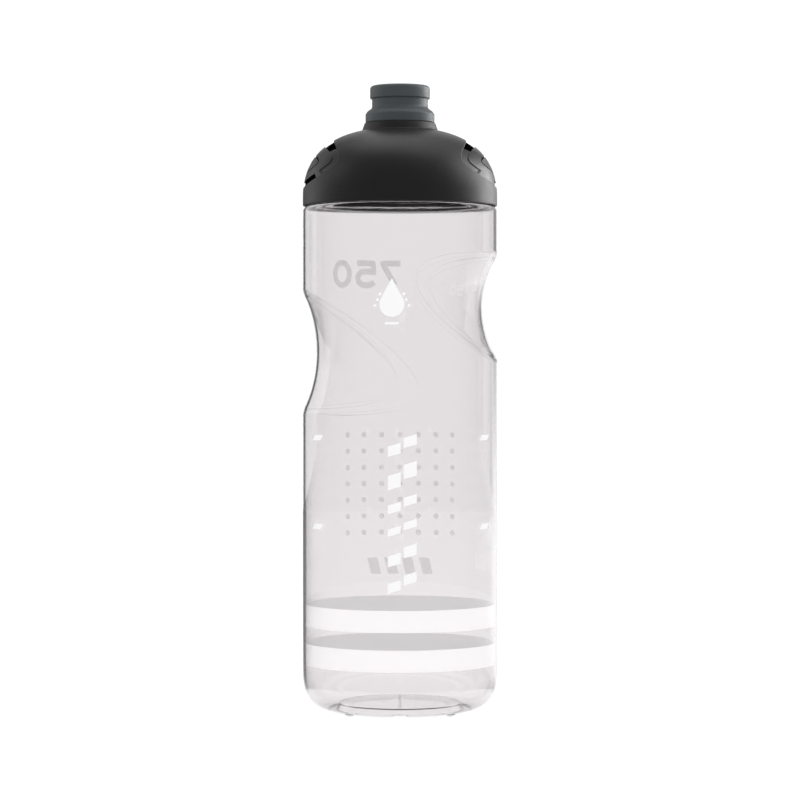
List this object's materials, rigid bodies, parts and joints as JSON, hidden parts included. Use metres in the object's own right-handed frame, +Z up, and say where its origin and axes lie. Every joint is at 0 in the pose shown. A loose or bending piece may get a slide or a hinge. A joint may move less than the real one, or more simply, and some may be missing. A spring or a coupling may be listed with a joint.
{
  "type": "water bottle",
  "caption": "Squeeze bottle for a bicycle cage, with finger grips, a screw cap and a push-pull drinking nozzle.",
  "frame": {"origin": "on the bottle's axis, in the plane of the four feet under the base", "axes": "+Z up along the bottle's axis towards the nozzle; -Y is the printed front; the higher grip groove is on the +X side"},
  "size_m": [0.074, 0.074, 0.2374],
  "materials": {
    "clear_plastic": "clear, smooth, blow-moulded",
    "cap_plastic": "fine matt moulding texture",
    "insert_plastic": "smooth satin",
    "liner_plastic": "satin",
    "gasket_rubber": "soft, translucent white",
    "valve_plastic": "smooth satin",
    "seal_rubber": "matt",
    "nozzle_rubber": "soft matt"
  },
  "bodies": {
    "bottle": {"bottle_body": "clear_plastic"},
    "gasket": {"cap_gasket": "gasket_rubber"},
    "cap": {"cap_shell": "cap_plastic", "side_insert_left": "insert_plastic", "side_insert_right": "insert_plastic", "cap_liner": "liner_plastic", "valve_post": "valve_plastic"},
    "nozzle_ring": {"nozzle_seal": "seal_rubber"},
    "nozzle": {"nozzle_core": "valve_plastic", "nozzle_sleeve": "nozzle_rubber"}
  },
  "joints": [
    {"name": "cap_lift", "type": "slide", "parent": "bottle", "child": "gasket", "axis": [0, 0, 1], "range_m": [0, 0.024]},
    {"name": "cap_turn", "type": "hinge", "parent": "gasket", "child": "cap", "pos_m": [0, 0, 0.2], "axis": [0, 0, 1], "range_deg": [0, 1080]},
    {"name": "nozzle_pull", "type": "slide", "parent": "cap", "child": "nozzle_ring", "axis": [0, 0, 1], "range_m": [0, 0.005]},
    {"name": "nozzle_spin", "type": "hinge", "parent": "nozzle_ring", "child": "nozzle", "pos_m": [0, 0, 0.224], "axis": [0, 0, 1], "continuous": true}
  ],
  "couplings": [
    {"joint": "cap_lift", "follows": "cap_turn", "m_per_rad": 0.0012732}
  ]
}
